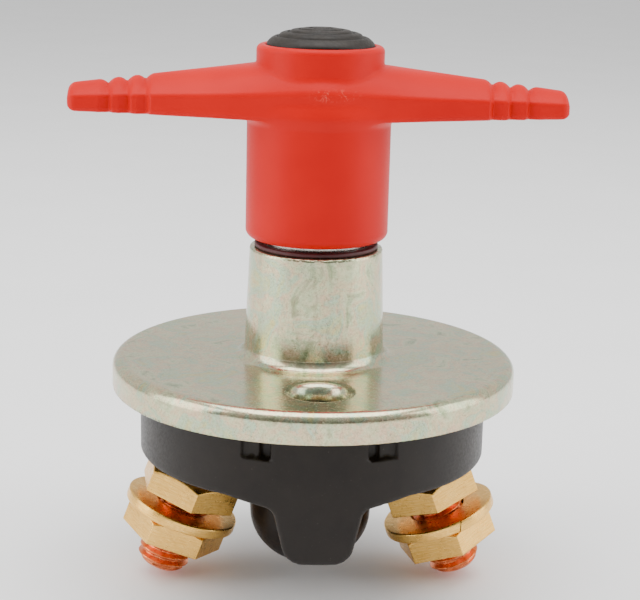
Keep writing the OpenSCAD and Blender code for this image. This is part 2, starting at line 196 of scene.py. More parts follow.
# Grip grooves: rounded on the top of the bar, saw-toothed notches on its faces
GROOVES = (31.3, 34.6, 38.0)
GROOVE_HALF_W = 1.62
GROOVE_DEPTH = 0.9
NOTCH_SHIFT = 0.4
NOTCH_OUTER_W = 1.75
NOTCH_INNER_W = 0.65
NOTCH_DEPTH = 0.8

# Holes in the handle, from below to above
BUSH_BORE_R = 6.3
BUSH_BORE_TOP = 23.2
DRIVE_HALF = 4.6
DRIVE_TOP = 44
SCREW_HOLE_R = 3.3
WASHER_WELL_R = 8.0
WASHER_WELL_BOTTOM = 50.5
CAP_WELL_BOTTOM = 55
CAP_CLEARANCE = 0.06

# Rubber cap
CAP_R = 9.76
CAP_BOTTOM = 55.02
CAP_WALL_TOP = 57.45
CAP_SHOULDER = 57.5
CAP_APEX = 60.6
CAP_RINGS = 5
CAP_RING_DEPTH = 0.6
PLUG_R = 7.95
PLUG_BORE_R = 6.7
PLUG_BORE_TOP = 56.2
PLUG_BOTTOM = 52.6

# Camera: lens and sensor in millimetres, place in metres, roll in degrees
CAMERA_LENS = 92.62
CAMERA_SENSOR = 36
CAMERA_PLACE = (-0.01438, -0.29745, 0.08394)
CAMERA_FORWARD = (0.0500, 0.9695, -0.2401)
CAMERA_ROLL = 1.40

# Lights: name, place, width and height in metres, and power in watts
LIGHT_AIM = (0, 0, 0.01)
SOFTBOXES = (
    ("Left softbox", (-0.62, -0.12, 0.22), 0.45, 0.7, 3.4),
    ("Right softbox", (0.62, -0.08, 0.22), 0.45, 0.7, 2.6),
    ("Top softbox", (0.0, -0.06, 0.80), 0.9, 0.6, 9.0),
)

# The surroundings' brightness, dim low in front and bright high behind
SKY_RANGE = (-1.0, 0.8)
SKY_STRENGTH = (0.05, 1.0)

# Floor
FLOOR_Z = -43.9
FLOOR_HALF = 4000


# ---------------------------------------------------------------- shape fields

# A field is about the distance in millimetres to a surface, negative inside. Where a slanted
# face would make it grow too fast it is scaled back, mostly by a factor called slant.

def round_out(r, *fields):
    """Intersection of fields whose edges are rounded to radius r."""
    reach = [np.maximum(f + r, 0) for f in fields]
    return np.minimum(np.maximum.reduce(fields), -r) + np.sqrt(sum(v * v for v in reach))


def round_in(r, a, b):
    """Union of two fields with a fillet of radius r."""
    u, v = np.maximum(r - a, 0), np.maximum(r - b, 0)
    return np.maximum(np.minimum(a, b), r) - np.sqrt(u * u + v * v)


def cut(r, a, b):
    """Field a less field b, with the edge rounded to radius r."""
    return round_out(r, a, -b)


def slab(v, low, high):
    """Everything between two planes."""
    return np.maximum(low - v, v - high)


def disc(x, y, z, radius, low, high, edge=0.0):
    """Upright cylinder, its edges rounded to radius edge."""
    return round_out(edge, np.hypot(x, y) - radius, slab(z, low, high))


def block(x, y, z, wide, deep, low, high):
    """Box given by half its width, half its depth and its two heights."""
    return np.maximum.reduce([np.abs(x) - wide, np.abs(y) - deep, slab(z, low, high)])


# ---------------------------------------------------------------- mesh making

def grid_surface(field, low, high, cell):
    """Closed surface of a field sampled on a grid, its vertices moved on to the field's zero."""
    axes = [np.arange(a - 1.5 * cell, b + 2.5 * cell, cell) for a, b in zip(low, high)]
    grid = np.meshgrid(*axes, indexing="ij")
    value = field(*grid)
    corners = list(itertools.product((0, 1), repeat=3))
    size = [n - 1 for n in value.shape]

    def corner(c):
        return value[c[0]:c[0] + size[0], c[1]:c[1] + size[1], c[2]:c[2] + size[2]]

    count = sum((corner(c) < 0).astype(np.int8) for c in corners)
    mixed = (count > 0) & (count < 8)
    where = np.argwhere(mixed)
    index = np.full(mixed.shape, -1)
    index[mixed] = np.arange(len(where))
    total, hits = np.zeros((len(where), 3)), np.zeros(len(where))
    for a, b in itertools.combinations(corners, 2):
        if sum(abs(i - j) for i, j in zip(a, b)) != 1:
            continue
        va, vb = corner(a)[mixed], corner(b)[mixed]
        crossed = (va < 0) != (vb < 0)
        t = np.where(crossed, va / np.where(crossed, va - vb, 1), 0)
        point = np.array(a) + t[:, None] * (np.array(b) - np.array(a))
        total += point * crossed[:, None]
        hits += crossed
    start = np.array([a[0] for a in axes])
    points = start + cell * (where + total / hits[:, None])
    step = 0.02 * cell

    def gradient(p):
        out = np.empty_like(p)
        for k in range(3):
            shift = np.zeros(3)
            shift[k] = step
            out[:, k] = field(*(p + shift).T) - field(*(p - shift).T)
        return out / (2 * step)

    for _ in range(3):
        g = gradient(points)
        move = -field(*points.T)[:, None] * g / np.maximum((g * g).sum(1), 0.05)[:, None]
        length = np.linalg.norm(move, axis=1)
        points += move * np.minimum(1, 0.3 * cell / np.maximum(length, 1e-9))[:, None]
    normals = gradient(points)
    normals /= np.maximum(np.linalg.norm(normals, axis=1), 1e-9)[:, None]
    faces = []
    inside = value < 0
    for k in range(3):
        u, v = (k + 1) % 3, (k + 2) % 3
        head = [slice(1, -1)] * 3
        tail = [slice(1, -1)] * 3
        head[k], tail[k] = slice(0, -1), slice(1, None)
        a, b = inside[tuple(head)], inside[tuple(tail)]
        for leaving in (True, False):
            base = np.argwhere((a & ~b) if leaving else (~a & b))
            base[:, u] += 1
            base[:, v] += 1
            ring = []
            for du, dv in ((0, 0), (1, 0), (1, 1), (0, 1)):
                cell_at = base.copy()
                cell_at[:, u] -= 1 - du
                cell_at[:, v] -= 1 - dv
                ring.append(index[tuple(cell_at.T)])
            faces.append(np.stack(ring if leaving else ring[::-1], 1))
    return points, np.concatenate(faces), normals


def add_mesh(name, points, faces, normals=None, place=None, sharp=35):
    """Object from points in millimetres; without given normals, edges over sharp degrees stay sharp."""
    mesh = bpy.data.meshes.new(name)
    if isinstance(faces, np.ndarray):
        faces = faces.tolist()
    mesh.from_pydata((np.asarray(points) * MM).tolist(), [], faces)
    mesh.shade_smooth()
    if normals is None:
        mesh.set_sharp_from_angle(angle=math.radians(sharp))
    else:
        mesh.normals_split_custom_set_from_vertices(normals.tolist())
    obj = bpy.data.objects.new(name, mesh)
    bpy.context.scene.collection.objects.link(obj)
    if place is not None:
        obj.matrix_world = place
    return obj


def field_piece(name, field, low, high, cell, place=None):
    """Object from a field sampled between two corners, every cell millimetres."""
    points, faces, normals = grid_surface(field, low, high, cell)
    return add_mesh(name, points, faces, normals, place)


def lathe(name, loop, sharp=35):
    """A closed (r, z) loop turned about z; the loop may start and end on the axis."""
    around = 96
    solid = loop[0][0] == 0 and loop[-1][0] == 0
    ring = loop[1:-1] if solid else loop
    turn = [2 * math.pi * i / around for i in range(around)]
    points = [(r * math.cos(t), r * math.sin(t), z) for r, z in ring for t in turn]
    n = len(ring)
    faces = []
    for j in range(n - 1 if solid else n):
        for i in range(around):
            k = (i + 1) % around
            a, b = j * around, ((j + 1) % n) * around
            faces.append((a + i, b + i, b + k, a + k))
    if solid:
        points += [(0, 0, loop[0][1]), (0, 0, loop[-1][1])]
        low, high = len(points) - 2, len(points) - 1
        last = (n - 1) * around
        for i in range(around):
            k = (i + 1) % around
            faces.append((low, i, k))
            faces.append((high, last + k, last + i))
    following = loop[1:] + loop[:1]
    area = sum(r * next_z - next_r * z for (r, z), (next_r, next_z) in zip(loop, following))
    if area > 0:
        faces = [f[::-1] for f in faces]
    return add_mesh(name, points, faces, sharp=sharp)


def coil_spring(name, ring_r, wire_r, low, high, turns):
    """Round wire wound from low to high, with end turns that lie nearly flat."""
    per_turn = 40
    sides = 12
    closed = 0.75
    lift = 1.6 * wire_r
    count = turns * per_turn
    points, faces = [], []
    for i in range(count + 1):
        turn = i / per_turn
        rise = min(max((turn - closed) / (turns - 2 * closed), 0), 1)
        z = low + wire_r + lift * min(turn / closed, 1)
        z += (high - low - 2 * wire_r - 2 * lift) * rise + lift * max((turn - turns + closed) / closed, 0)
        a = 2 * math.pi * turn
        for j in range(sides):
            b = 2 * math.pi * j / sides
            r = ring_r + wire_r * math.cos(b)
            points.append((r * math.cos(a), r * math.sin(a), z + wire_r * math.sin(b)))
    for i in range(count):
        for j in range(sides):
            k = (j + 1) % sides
            faces.append((i * sides + j, (i + 1) * sides + j, (i + 1) * sides + k, i * sides + k))
    faces += [tuple(range(sides)), tuple(reversed(range(count * sides, (count + 1) * sides)))]
    return add_mesh(name, points, faces)


def arc(r, z, radius, start, end):
    """Points along an arc round (r, z), from one angle in degrees to another."""
    steps = 6
    angles = [math.radians(start + (end - start) * i / steps) for i in range(steps + 1)]
    return [(r + radius * math.cos(a), z + radius * math.sin(a)) for a in angles]


def washer_loop(r_out, r_in, low, high, edge):
    """Ring section with rounded outer corners and small inner ones."""
    return (arc(r_out - edge, low + edge, edge, -90, 0) + arc(r_out - edge, high - edge, edge, 0, 90)
            + arc(r_in + edge / 2, high - edge / 2, edge / 2, 90, 180)
            + arc(r_in + edge / 2, low + edge / 2, edge / 2, 180, 270))


def stud_place(side):
    """The stud's own frame: z runs down along the stud, and y stays the model's y."""
    turn = Matrix.Rotation(math.pi - side * STUD_TILT, 4, "Y")
    return Matrix.Translation(Vector((side * STUD_X, 0, STUD_Z)) * MM) @ turn


def to_stud(side, x, y, z):
    """The model's coordinates to the stud's own."""
    s, c = side * math.sin(STUD_TILT), -math.cos(STUD_TILT)
    dx, dz = x - side * STUD_X, z - STUD_Z
    return dx * c - dz * s, y, dx * s + dz * c


# ---------------------------------------------------------------- handle

def swell(x, reach):
    """1 at the middle of the handle, falling smoothly to about a third at that reach."""
    return np.exp(-(x / reach) ** 2)


def groove_depths(x):
    """How deep the grip grooves are at x, on the top and on the faces of the bar."""
    past = np.array([np.abs(x) - g for g in GROOVES])
    top = np.clip(1 - np.abs(past).min(0) / GROOVE_HALF_W, 0, 1)
    along = past + NOTCH_SHIFT
    notch = np.clip(np.minimum(1 - along / NOTCH_OUTER_W, 1 + along / NOTCH_INNER_W), 0, 1).max(0)
    return GROOVE_DEPTH * top * top, NOTCH_DEPTH * notch


def bar_field(x, y, z):
    """The bar widens from its ends to the middle; its top is crowned from crease to ridge."""
    ax, ay = np.abs(x), np.abs(y)
    groove, notch = groove_depths(x)
    from_end = HALF_SPAN - np.sqrt(x * x + BAR_MIDDLE_SMOOTH)
    half = BAR_END_HALF_W + BAR_FLARE * from_end + BAR_FLARE_CURVE * from_end * from_end
    half = half + BAR_SWELL * swell(x, BAR_SWELL_REACH) - notch
    crease = CREASE - CREASE_FALL * ax + CREASE_SWELL * swell(x, CREASE_SWELL_REACH)
    ridge = RIDGE - RIDGE_FALL * (np.sqrt(ax * ax + RIDGE_SMOOTH ** 2) - RIDGE_SMOOTH) - groove
    crown = ridge - crease
    across = np.clip(ay / half, 0.001, 1.3)
    power = CROWN_POWER + CROWN_SWELL * swell(x, CROWN_SWELL_REACH)
    slope = power * crown * across ** (power - 1) / half
    top = (z - crease - crown * (1 - across ** power)) / np.sqrt(1 + slope ** 2)
    slant = 0.97
    face = (ay - half) * slant
    bottom = BAR_BOTTOM + BAR_BOTTOM_RISE * ax - z
    bar = round_out(0.8, round_out(0.3, face, top), bottom)
    return round_out(1.5, bar, ax - HALF_SPAN)


def handle_field(x, y, z):
    """Hub, bar and rim, less the holes for bush, drive, screw, washer and cap."""
    hub = disc(x, y, z, HUB_R, HUB_BOTTOM, HUB_TOP, 1.5)
    rim = disc(x, y, z, RIM_R, RIM_BOTTOM, RIM_TOP, 1.0)
    body = round_in(0.4, round_in(1.6, hub, bar_field(x, y, z)), rim)
    below = HUB_BOTTOM - 2
    above = RIM_TOP + 2.5
    bore = np.minimum.reduce([
        disc(x, y, z, BUSH_BORE_R, below, BUSH_BORE_TOP),
        block(x, y, z, DRIVE_HALF, DRIVE_HALF, below, DRIVE_TOP),
        disc(x, y, z, SCREW_HOLE_R, DRIVE_TOP - 1, WASHER_WELL_BOTTOM + 0.5),
        disc(x, y, z, WASHER_WELL_R, WASHER_WELL_BOTTOM, above),
        disc(x, y, z, CAP_R + CAP_CLEARANCE, CAP_WELL_BOTTOM, above)])
    return cut(0.3, body, bore)


def cap_loop():
    """Rubber cap with ring grooves on its dome and a hollow plug below."""
    loop = [(0, PLUG_BORE_TOP), (PLUG_BORE_R, PLUG_BORE_TOP), (PLUG_BORE_R, PLUG_BOTTOM)]
    loop += [(PLUG_R, PLUG_BOTTOM), (PLUG_R, CAP_BOTTOM), (CAP_R, CAP_BOTTOM), (CAP_R, CAP_WALL_TOP)]
    pitch = CAP_R / CAP_RINGS
    flatness = 2.3
    roundness = 0.62
    steps = 120
    for i in range(steps):
        r = CAP_R * (1 - i / steps)
        rise = (1 - (r / CAP_R) ** flatness) ** roundness
        ring = abs(math.sin(math.pi * (r / pitch)))
        grooved = pitch * 0.6 < r < CAP_R - 0.4 * pitch
        dip = CAP_RING_DEPTH * (1 - ring) ** 2 if grooved else 0
        loop.append((r, CAP_SHOULDER + (CAP_APEX - CAP_SHOULDER) * rise - dip))
    return loop + [(0, CAP_APEX)]


# ---------------------------------------------------------------- flange

def flange_field(x, y, z):
    """Pressed disc with a turned-down rim, a collar, and fixing holes drawn down through it."""
    r = np.hypot(x, y)
    shell = round_out(0.45, round_out(RIM_EDGE_R, r - FLANGE_R, z), -RIM_DEPTH - z)
    inner = round_out(0.8, r - (FLANGE_R - SHEET), z + SHEET, -RIM_DEPTH + RIM_LIP_T - z)
    mouth = np.maximum(r - LIP_R, z + SHEET + 1)
    pan = np.maximum(shell, -np.minimum(inner, mouth))
    hole_r = np.hypot(x, np.abs(y) - HOLE_Y)
    drawn = round_out(0.4, hole_r - HOLE_R - HOLE_WALL, slab(z, -HOLE_DEPTH, 0))
    pan = np.minimum(pan, drawn)
    wall = COLLAR_FOOT_R + (COLLAR_TOP_R - COLLAR_FOOT_R) * np.clip(z / COLLAR_TOP, 0, 1)
    collar = round_out(0.3, r - wall, z - COLLAR_TOP, -SHEET - z)
    body = round_in(COLLAR_FILLET, pan, collar)
    body = np.maximum(body, BORE_R - r)
    t = np.minimum(z, 0) + FUNNEL_START
    slant = 0.93
    funnel = (hole_r - HOLE_R - FUNNEL_FLARE * (t + np.hypot(t, 1))) * slant
    return cut(HOLE_EDGE_R, body, funnel)


# ---------------------------------------------------------------- housing

def leg_field(x, y, z):
    """Both screw legs, wider at the root than at the tip and towards the middle."""
    slope = (LEG_TOP_X - LEG_TIP_X) / (HOUSING_BOTTOM - LEG_TIP)
    half = LEG_TOP_X + slope * (z - HOUSING_BOTTOM) + LEG_DRAFT * (HOUSING_R - np.abs(y))
    return round_out(LEG_TIP_EDGE_R, (np.abs(x) - half) / math.hypot(1, slope), LEG_TIP - z)


def dome_field(x, y, z):
    """Spring dome under the housing: a drafted wall with an elliptic nose."""
    r = np.hypot(x, y)
    slant = 0.996
    wall = (r - DOME_R - DOME_DRAFT * (z - DOME_SHOULDER) / (HOUSING_BOTTOM - DOME_SHOULDER)) * slant
    drop = np.maximum(DOME_SHOULDER - z, 0)
    k0 = np.sqrt((r / DOME_R) ** 2 + (drop / DOME_NOSE) ** 2)
    k1 = np.sqrt((r / DOME_R ** 2) ** 2 + (drop / DOME_NOSE ** 2) ** 2)
    nose = k0 * (k0 - 1) / np.maximum(k1, 1e-6)
    return np.maximum(np.where(z > DOME_SHOULDER, wall, nose), z - HOUSING_BOTTOM - DOME_ROOT)


def window_depth(x, y, z):
    """How far the windows and their slots go into the housing's wall."""
    depth = np.zeros_like(x)
    low = np.clip((z - WINDOW_BOTTOM) / WINDOW_EDGE, 0, 1)
    for turn in (0, math.pi):
        for side in (-1, 1):
            a = turn + side * WINDOW_TURN
            u = x * math.cos(a) + y * math.sin(a)
            front = x * math.sin(a) - y * math.cos(a) > 0
            recess = np.clip((WINDOW_HALF_W - np.abs(u)) / WINDOW_EDGE, 0, 1)
            slot = np.clip((SLOT_HALF_W - np.abs(u + side * SLOT_OFFSET)) / WINDOW_EDGE, 0, 1)
            depth = np.maximum(depth, front * low * (WINDOW_DEPTH * recess + SLOT_DEPTH * slot))
    return depth


def chamber_field(x, y, z):
    """The hollow for the contact bridge, with the bush's well above and the spring's below."""
    face_z = STUD_Z - (HEAD_SEAT - HEAD_T) * math.cos(STUD_TILT)
    face_x = STUD_X + (HEAD_SEAT - HEAD_T) * math.sin(STUD_TILT)
    slope = math.tan(STUD_TILT)
    ramp = slope * (np.clip(np.abs(x), CHAMBER_FLAT_X, CHAMBER_HALF_X) - face_x)
    under = (face_z - CHAMBER_CLEARANCE + ramp) - z
    slot = np.maximum.reduce([
        np.abs(x) - CHAMBER_HALF_X, np.abs(y) - CHAMBER_HALF_Y, under, z - CUT_TOP])
    return np.minimum.reduce([
        slot,
        disc(x, y, z, BORE_R, BUSH_WELL_BOTTOM, CUT_TOP),
        disc(x, y, z, SPRING_WELL_R, SPRING_WELL_BOTTOM, CUT_TOP)])


def stud_hole_field(x, y, z):
    """The stud's hole in the stud's own frame: room for its head, square neck and shank."""
    half = NECK_HALF + NECK_CLEARANCE
    return np.minimum.reduce([
        disc(x, y, z, HEAD_R + HEAD_CLEARANCE, HEAD_SEAT - 3, HEAD_SEAT),
        block(x, y, z, half, half, HEAD_SEAT - 0.1, HEAD_SEAT + NECK_H + NECK_CLEARANCE),
        disc(x, y, z, half, HEAD_SEAT, 0)])


def housing_field(x, y, z):
    """Drum with two legs, windows, a spring dome and a boss for each stud, hollow inside."""
    r = np.hypot(x, y)
    beside_leg = np.clip(np.abs(y) - LEG_INNER_Y, 0, 1)
    shoulder = SHOULDER_SLOPE * beside_leg * np.clip(SHOULDER_X - np.abs(x), 0, SHOULDER_W)
    slant = 0.98
    plate = (HOUSING_BOTTOM - shoulder - z) * slant
    leg = np.maximum(leg_field(x, y, z), z - HOUSING_BOTTOM - LEG_ROOT)
    leg = round_out(1.0, leg, LEG_INNER_Y - np.abs(y))
    lower = round_in(1.2, plate, leg)
    pocket = np.maximum.reduce([
        SHOULDER_X - np.abs(x), POCKET_INNER_Y - np.abs(y), r - (HOUSING_R - POCKET_WALL),
        z - HOUSING_BOTTOM - POCKET_DEPTH])
    lower = cut(0.5, lower, pocket)
    body = round_out(0.7, lower, r - HOUSING_R + window_depth(x, y, z))
    ledge = round_out(0.3, r - LEDGE_R, slab(z, LEDGE_BOTTOM, HOUSING_TOP))
    body = np.minimum(np.maximum(body, z - HOUSING_TOP), ledge)
    body = round_in(0.8, body, dome_field(x, y, z))
    for side in (-1, 1):
        a, b, c = to_stud(side, x, y, z)
        boss = disc(a, b, c, BOSS_R, HEAD_SEAT + 1, WALL_SEAT, 0.6)
        body = round_in(1.0, body, boss)
        body = np.maximum(body, -stud_hole_field(a, b, c))
    hole_r = np.hypot(x, np.abs(y) - HOLE_Y)
    bores = np.minimum(
        np.maximum(hole_r - SCREW_BORE_R, SCREW_BORE_BOTTOM - z),
        np.maximum(hole_r - SCREW_MOUTH_R, SCREW_MOUTH_BOTTOM - z))
    hollow = np.minimum.reduce([chamber_field(x, y, z), bores])
    return np.maximum(body, -hollow)


# ---------------------------------------------------------------- terminals

def thread_radius(x, y, z):
    """Radius of the stud's right-hand thread at a point, with flat crests and roots."""
    crest = 0.12
    flank = 0.72
    turn = np.arctan2(y, x) / (2 * math.pi)
    phase = np.mod(z / THREAD_PITCH - turn, 1)
    wave = np.abs(2 * phase - 1)
    return STUD_R - THREAD_DEPTH * np.clip((wave - crest) / flank, 0, 1)


def stud_field(x, y, z):
    """Threaded shank with a chamfered end, a square neck and a round head."""
    r = np.hypot(x, y)
    slant = 0.75
    end = np.maximum((r - STUD_R + z - STUD_END + STUD_CHAMFER) / math.sqrt(2), z - STUD_END)
    shank = np.maximum.reduce([(r - thread_radius(x, y, z)) * slant, end, HEAD_SEAT - 0.5 - z])
    head = disc(x, y, z, HEAD_R, HEAD_SEAT - HEAD_T, HEAD_SEAT, 0.4)
    neck = round_out(0.5, np.abs(x) - NECK_HALF, np.abs(y) - NECK_HALF,
                     slab(z, HEAD_SEAT - 0.5, HEAD_SEAT + NECK_H))
    return np.minimum.reduce([shank, head, neck])


def nut_field(corner):
    """Hexagon nut chamfered on the housing's side, one corner at that angle in degrees."""
    def field(x, y, z):
        r = np.hypot(x, y)
        sides = []
        for k in range(3):
            a = math.radians(corner + 30 + 60 * k)
            sides.append(np.abs(x * math.cos(a) + y * math.sin(a)) - NUT_AF / 2)
        flat_ring = 0.25
        steep = 1.7
        slant = 0.507
        cone = (r - NUT_AF / 2 + flat_ring - steep * z) * slant
        body = round_out(0.22, np.maximum.reduce(sides), slab(z, 0, NUT_H), cone)
        clearance = 0.03
        countersink = 0.3
        mouth_slant = 0.7
        mouth = (r - STUD_R - countersink + np.minimum(z, NUT_H - z)) * mouth_slant
        return np.maximum(body, -np.minimum(r - STUD_R - clearance, mouth))
    return field


def lock_washer_points(split):
    """Split spring washer: one coil of flat wire whose ends spring a little apart."""
    columns = 150
    gap = 0.9
    spring = 0.12
    lean = 0.45
    section = washer_loop(WASHER_R, WASHER_BORE_R, 0, WASHER_T, 0.3)
    points = []
    for i in range(columns + 1):
        share = i / columns
        for r, z in section:
            a = math.radians(split + gap / 2 + (360 - gap) * share) + (z - WASHER_T / 2) * lean / WASHER_R
            points.append((r * math.cos(a), r * math.sin(a), z + spring * (share - 0.5)))
    n = len(section)
    faces = [(i * n + j, i * n + (j + 1) % n, (i + 1) * n + (j + 1) % n, (i + 1) * n + j)
             for i in range(columns) for j in range(n)]
    faces += [tuple(reversed(range(n))), tuple(range(columns * n, (columns + 1) * n))]
    faces = [f[::-1] for f in faces]
    return points, faces


# ---------------------------------------------------------------- materials

class Shader:
    """Builds one procedural material from small steps."""

    def __init__(self, name):
        self.material = bpy.data.materials.new(name)
        self.material.use_nodes = True
        self.tree = self.material.node_tree
        self.surface = self.tree.nodes["Principled BSDF"]
        coord = self.node("ShaderNodeTexCoord")
        scale = self.node("ShaderNodeMapping")
        scale.inputs["Scale"].default_value = (1000, 1000, 1000)
        self.join(coord.outputs["Object"], scale.inputs["Vector"])
        self.position = scale.outputs["Vector"]

    def node(self, kind, **values):
        made = self.tree.nodes.new(kind)
        for key, value in values.items():
            setattr(made, key, value)
        return made

    def join(self, source, target):
        self.tree.links.new(source, target)

    def stretched(self, factors):
        """The position with each axis scaled, for grain that runs one way."""
        mapping = self.node("ShaderNodeMapping")
        mapping.inputs["Scale"].default_value = factors
        self.join(self.position, mapping.inputs["Vector"])
        return mapping.outputs["Vector"]

    def polar(self, around, along):
        """(angle * around, radius, z * along): streaks that follow a turned part."""
        split = self.node("ShaderNodeSeparateXYZ")
        self.join(self.position, split.inputs[0])
        angle = self.math("ARCTAN2", split.outputs["Y"], split.outputs["X"])
        square = self.math("ADD", self.math("MULTIPLY", split.outputs["X"], split.outputs["X"]),
                           self.math("MULTIPLY", split.outputs["Y"], split.outputs["Y"]))
        merge = self.node("ShaderNodeCombineXYZ")
        self.join(self.math("MULTIPLY", angle, around), merge.inputs["X"])
        self.join(self.math("SQRT", square), merge.inputs["Y"])
        self.join(self.math("MULTIPLY", split.outputs["Z"], along), merge.inputs["Z"])
        return merge.outputs["Vector"]

    def math(self, operation, a, b=None):
        """A sum on one or two numbers or sockets."""
        made = self.node("ShaderNodeMath", operation=operation)
        for socket, value in zip(made.inputs, (a, b)):
            if value is None:
                continue
            if isinstance(value, (int, float)):
                socket.default_value = value
            else:
                self.join(value, socket)
        return made.outputs[0]

    def noise(self, scale, detail, rough, vector=None, distortion=0.0):
        made = self.node("ShaderNodeTexNoise")
        made.inputs["Scale"].default_value = scale
        made.inputs["Detail"].default_value = detail
        made.inputs["Roughness"].default_value = rough
        made.inputs["Distortion"].default_value = distortion
        self.join(vector or self.position, made.inputs["Vector"])
        return made.outputs["Fac"]

    def ramp(self, source, *stops):
        """Colour from a number, by stops of (place, colour)."""
        made = self.node("ShaderNodeValToRGB")
        elements = made.color_ramp.elements
        while len(elements) < len(stops):
            elements.new(0.5)
        for element, (place, colour) in zip(elements, stops):
            element.position = place
            element.color = (*colour, 1)
        self.join(source, made.inputs["Fac"])
        return made.outputs["Color"]

    def grey(self, source, low, high, start=0.35, end=0.65):
        """A number that goes from low to high as source goes from start to end."""
        made = self.node("ShaderNodeMapRange")
        for name, value in (("From Min", start), ("From Max", end), ("To Min", low), ("To Max", high)):
            made.inputs[name].default_value = value
        self.join(source, made.inputs["Value"])
        return made.outputs["Result"]

    def mix(self, kind, amount, a, b):
        made = self.node("ShaderNodeMix", data_type="RGBA", blend_type=kind)
        for socket, value in ((made.inputs[0], amount), (made.inputs[6], a), (made.inputs[7], b)):
            if isinstance(value, (int, float)):
                socket.default_value = value
            elif isinstance(value, tuple):
                socket.default_value = (*value, 1)
            else:
                self.join(value, socket)
        return made.outputs[2]

    def ball(self, centre, reach):
        """1 at a centre, falling to 0 at that reach along each axis, in millimetres."""
        mapping = self.node("ShaderNodeMapping", vector_type="TEXTURE")
        mapping.inputs["Location"].default_value = centre
        mapping.inputs["Scale"].default_value = reach
        self.join(self.position, mapping.inputs["Vector"])
        made = self.node("ShaderNodeTexGradient", gradient_type="SPHERICAL")
        self.join(mapping.outputs["Vector"], made.inputs["Vector"])
        return self.grey(made.outputs["Fac"], 0, 1, 0.0, 0.45)

    def bump(self, height, strength, distance):
        made = self.node("ShaderNodeBump")
        made.inputs["Strength"].default_value = strength
        made.inputs["Distance"].default_value = distance * MM
        self.join(height, made.inputs["Height"])
        self.join(made.outputs["Normal"], self.surface.inputs["Normal"])

    def set(self, **values):
        """Puts numbers and sockets on the surface's own inputs."""
        for key, value in values.items():
            socket = self.surface.inputs[key.replace("_", " ")]
            if isinstance(value, (int, float)):
                socket.default_value = value
            else:
                self.join(value, socket)


def red_plastic():
    s = Shader("Red plastic")
    broad = s.noise(0.07, 2, 0.5)
    base = s.ramp(broad, (0.3, (0.55, 0.002, 0.001)), (0.7, (0.62, 0.004, 0.002)))
    spot = s.noise(0.55, 5, 0.75, distortion=2.2)
    wear = s.ball((2.0, -12.6, 49.8), (5.5, 4.0, 1.4))
    scuff = s.math("MULTIPLY", s.grey(spot, 0, 1, 0.52, 0.66), wear)
    s.set(Base_Color=s.mix("MIX", s.math("MULTIPLY", scuff, 0.6), base, (0.80, 0.16, 0.11)))
    fine = s.noise(3.5, 3, 0.6)
    s.set(Roughness=s.math("ADD", s.grey(fine, 0.36, 0.46), s.math("MULTIPLY", scuff, 0.25)))
    s.set(Specular_IOR_Level=0.12)
    s.bump(s.noise(2.2, 4, 0.6), 0.12, 0.05)
    return s.material


def zinc_plate():
    s = Shader("Zinc plate")
    streak = s.noise(1.0, 5, 0.7, s.polar(9.0, 0.10))
    cloud = s.noise(0.16, 4, 0.6, distortion=0.8)
    tint = s.ramp(cloud, (0.30, (0.30, 0.35, 0.20)), (0.42, (0.60, 0.61, 0.40)),
                  (0.50, (0.66, 0.52, 0.34)), (0.58, (0.46, 0.56, 0.40)), (0.70, (0.62, 0.54, 0.26)))
    brown = s.grey(streak, 0, 0.35, 0.54, 0.72)
    base = s.mix("MIX", brown, tint, (0.26, 0.19, 0.11))
    grain = s.grey(s.noise(2.6, 4, 0.8), 0, 0.45, 0.46, 0.66)
    base = s.mix("MIX", grain, base, (0.20, 0.18, 0.12))
    speck = s.noise(4.5, 3, 0.75)
    patch = s.grey(s.noise(0.2, 3, 0.6), 0.15, 1, 0.45, 0.6)
    dirt = s.math("MULTIPLY", s.grey(speck, 0, 0.8, 0.57, 0.66), patch)
    base = s.mix("MIX", dirt, base, (0.08, 0.065, 0.05))
    drift = s.noise(0.33, 3, 0.5, distortion=1.2)
    film = s.ramp(drift, (0.35, (0.95, 0.78, 0.80)), (0.48, (0.98, 0.97, 0.88)),
                  (0.58, (0.80, 0.95, 0.86)), (0.70, (0.92, 0.90, 0.98)))
    s.set(Base_Color=s.mix("MULTIPLY", 0.5, base, film), Metallic=0.92)
    s.set(Roughness=s.grey(s.noise(1.4, 4, 0.65), 0.14, 0.28))
    s.bump(s.noise(2.6, 5, 0.65), 0.10, 0.05)
    return s.material


def black_moulding():
    s = Shader("Black moulding")
    base = s.ramp(s.noise(0.12, 3, 0.6), (0.3, (0.008, 0.005, 0.0035)), (0.7, (0.013, 0.009, 0.006)))
    fleck = s.grey(s.noise(2.5, 2, 0.8), 0, 0.5, 0.70, 0.76)
    base = s.mix("MIX", fleck, base, (0.10, 0.08, 0.065))
    s.set(Base_Color=base, Roughness=s.grey(s.noise(1.8, 4, 0.6), 0.34, 0.48), Specular_IOR_Level=0.22)
    s.bump(s.noise(3.2, 4, 0.7), 0.18, 0.06)
    return s.material


def brass():
    s = Shader("Brass")
    lines = s.noise(1.0, 3, 0.6, s.stretched((0.35, 0.35, 6.0)))
    base = s.ramp(lines, (0.25, (0.70, 0.36, 0.07)), (0.5, (0.86, 0.50, 0.12)), (0.75, (0.92, 0.60, 0.19)))
    stain = s.grey(s.noise(0.35, 4, 0.65, distortion=0.6), 0, 0.4, 0.52, 0.72)
    s.set(Base_Color=s.mix("MIX", stain, base, (0.52, 0.26, 0.06)), Metallic=1.0)
    s.set(Roughness=s.grey(s.noise(1.2, 3, 0.6), 0.24, 0.38))
    s.bump(lines, 0.25, 0.06)
    return s.material


